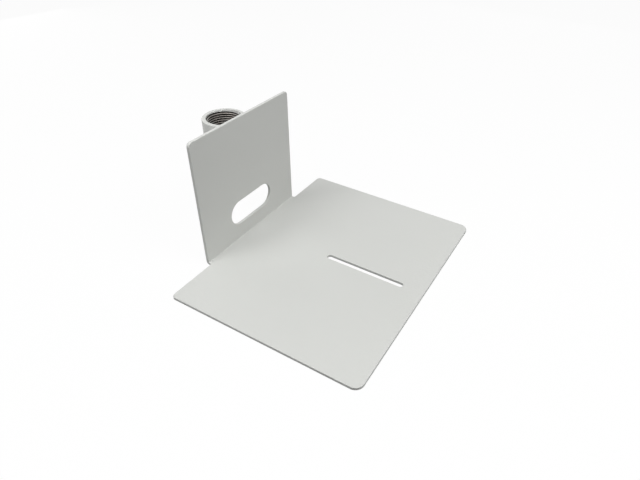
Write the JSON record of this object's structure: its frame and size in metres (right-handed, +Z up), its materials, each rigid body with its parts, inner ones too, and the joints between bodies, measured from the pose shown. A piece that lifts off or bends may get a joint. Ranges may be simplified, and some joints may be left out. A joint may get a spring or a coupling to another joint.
{
  "type": "camera ceiling mount",
  "caption": "Folded sheet-metal camera shelf with a slotted plate, an upright tab with a cable opening, and a threaded pipe coupling welded behind the tab.",
  "frame": {"origin": "under the middle of the whole, level with the underside of the shelf", "axes": "+Z up along the pipe socket, +Y towards the coupling behind the tab, +X along the fold"},
  "size_m": [0.232, 0.231, 0.126],
  "materials": {
    "powder_coat": "satin light grey-white powder coat on steel"
  },
  "bodies": {
    "root": {"bent_bracket": "powder_coat", "pipe_coupling": "powder_coat", "weld_bead_left": "powder_coat", "weld_bead_right": "powder_coat"}
  },
  "joints": []
}
